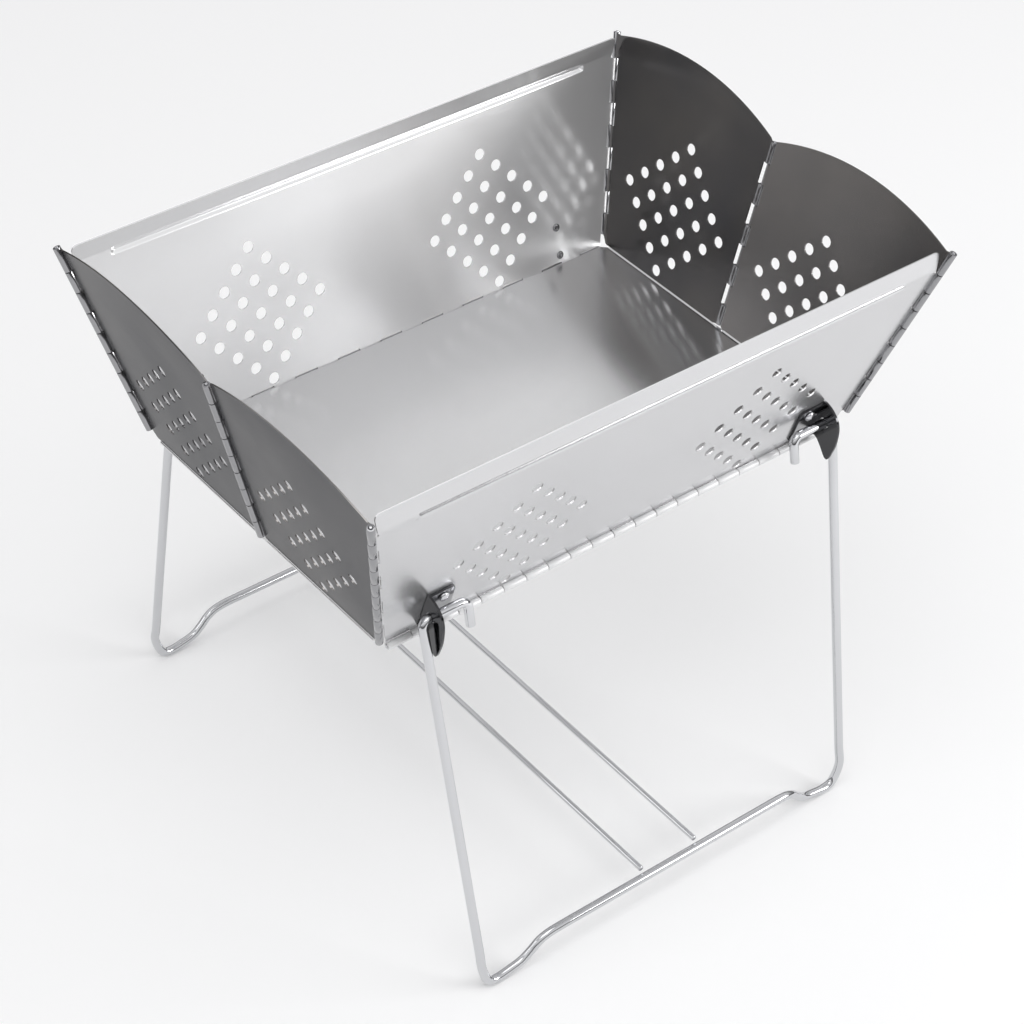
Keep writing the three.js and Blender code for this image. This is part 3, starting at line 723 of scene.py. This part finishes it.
make_base()
for d in (1, -1):
    make_long(d)
    make_pin(SIDE[d] + "_base_hinge_pin", "base", V((-166.8, d * AX_Y, AX_Z)), V((166.8, d * AX_Y, AX_Z)), PIN)
    make_legs(d)
    for e in (1, -1):
        n = END[e] + "_" + SIDE[d]
        make_leaf(e, d)
        make_bracket(e, d)
        make_rivets(e, d)
        p, dr = corner_axis(e, d), corner_dir(e, d)
        make_pin(n + "_corner_pin", SIDE[d] + "_wall", p + dr * 6.0, p + dr * 137.3, PIN)
for e in (1, -1):
    p = V((e * HALF_L, 0, 0)) + n_end(e) * OFF
    make_pin(END[e] + "_central_pin", END[e] + "_rear_end_leaf", p + v_end(e) * 1.6, p + v_end(e) * 127.9, 0.85)
    make_spreader(e)

# ------------------------------------------------------------------ stage, light, camera
me = bpy.data.meshes.new("stage_floor")
S = 6.0
me.from_pydata([(-S, -S, 0), (S, -S, 0), (S, S, 0), (-S, S, 0)], [], [(0, 1, 2, 3)])
fl = bpy.data.objects.new("stage_floor", me)
bpy.context.scene.collection.objects.link(fl)
fm = bpy.data.materials.new("stage_floor_paint")
fm.use_nodes = True
fb = fm.node_tree.nodes["Principled BSDF"]
fb.inputs["Base Color"].default_value = (0.96, 0.96, 0.96, 1)
fb.inputs["Roughness"].default_value = 0.9
fb.inputs["Specular IOR Level"].default_value = 0.1
me.materials.append(fm)


def area(name, loc, target, size, power, color=(1, 1, 1)):
    l = bpy.data.lights.new(name, "AREA")
    l.shape = "RECTANGLE"
    l.size, l.size_y = size
    l.energy = power
    l.color = color
    o = bpy.data.objects.new(name, l)
    bpy.context.scene.collection.objects.link(o)
    o.location = loc
    o.rotation_euler = (V(target) - V(loc)).to_track_quat("-Z", "Y").to_euler()
    return o


area("key_top", (-0.5, -0.6, 2.6), (0, 0, 0.2), (1.8, 1.8), 15)
area("front_low", (1.6, -1.8, 0.95), (0, 0, 0.3), (1.2, 0.7), 24)
area("fill_left", (-2.4, 0.4, 1.5), (0, 0, 0.2), (1.2, 1.4), 5)

# studio surround: bright overhead, dim towards the horizon and towards the rear right
w = bpy.data.worlds.new("studio")
bpy.context.scene.world = w
w.use_nodes = True
wn, wl = w.node_tree.nodes, w.node_tree.links
bg = wn["Background"]
tc = wn.new("ShaderNodeTexCoord")
sx = wn.new("ShaderNodeSeparateXYZ")
wl.new(tc.outputs["Generated"], sx.inputs["Vector"])
ramp = wn.new("ShaderNodeValToRGB")
el = ramp.color_ramp.elements
el[0].position, el[0].color = 0.0, (0.10, 0.10, 0.105, 1)
el[1].position, el[1].color = 1.0, (0.52, 0.52, 0.525, 1)
for pos, v in ((0.10, 0.12), (0.22, 0.28), (0.42, 0.62), (0.60, 0.86), (0.78, 0.66)):
    e_ = el.new(pos)
    e_.color = (v, v, v * 1.01, 1)
wl.new(sx.outputs["Z"], ramp.inputs["Fac"])
dot = wn.new("ShaderNodeVectorMath")
dot.operation = "DOT_PRODUCT"
dot.inputs[1].default_value = (0.80, 0.60, 0.0)
wl.new(tc.outputs["Generated"], dot.inputs[0])
dim = wn.new("ShaderNodeMapRange")
dim.interpolation_type = "SMOOTHSTEP"
dim.inputs["From Min"].default_value = 0.15
dim.inputs["From Max"].default_value = 0.85
dim.inputs["To Min"].default_value = 1.0
dim.inputs["To Max"].default_value = 0.92
wl.new(dot.outputs["Value"], dim.inputs["Value"])
mul = wn.new("ShaderNodeVectorMath")
mul.operation = "SCALE"
wl.new(ramp.outputs["Color"], mul.inputs[0])
wl.new(dim.outputs["Result"], mul.inputs["Scale"])
wl.new(mul.outputs["Vector"], bg.inputs["Color"])
bg.inputs["Strength"].default_value = 1.15
bpy.context.scene.view_settings.view_transform = "Standard"

cam = bpy.data.cameras.new("camera")
co = bpy.data.objects.new("camera", cam)
bpy.context.scene.collection.objects.link(co)
bpy.context.scene.camera = co
R = Matrix(((0.7856927392885363, -0.617748080283038, 0.032775428843840104), (-0.3781923353263709, -0.521587344030474, -0.7647987971013174), (0.48954823759223376, 0.5885014459233363, -0.6434349782351599)))
Rb = Matrix(((1, 0, 0), (0, -1, 0), (0, 0, -1))) @ R
mw = Rb.transposed().to_4x4()
mw.translation = V((-837.3089 * MM, (-1019.53796 + SHIFT_Y) * MM, (1043.37671 + FLOOR) * MM))
co.matrix_world = mw
cam.sensor_width = 36
cam.lens = 2846.1136 / 1024 * 36
cam.clip_start, cam.clip_end = 0.05, 50
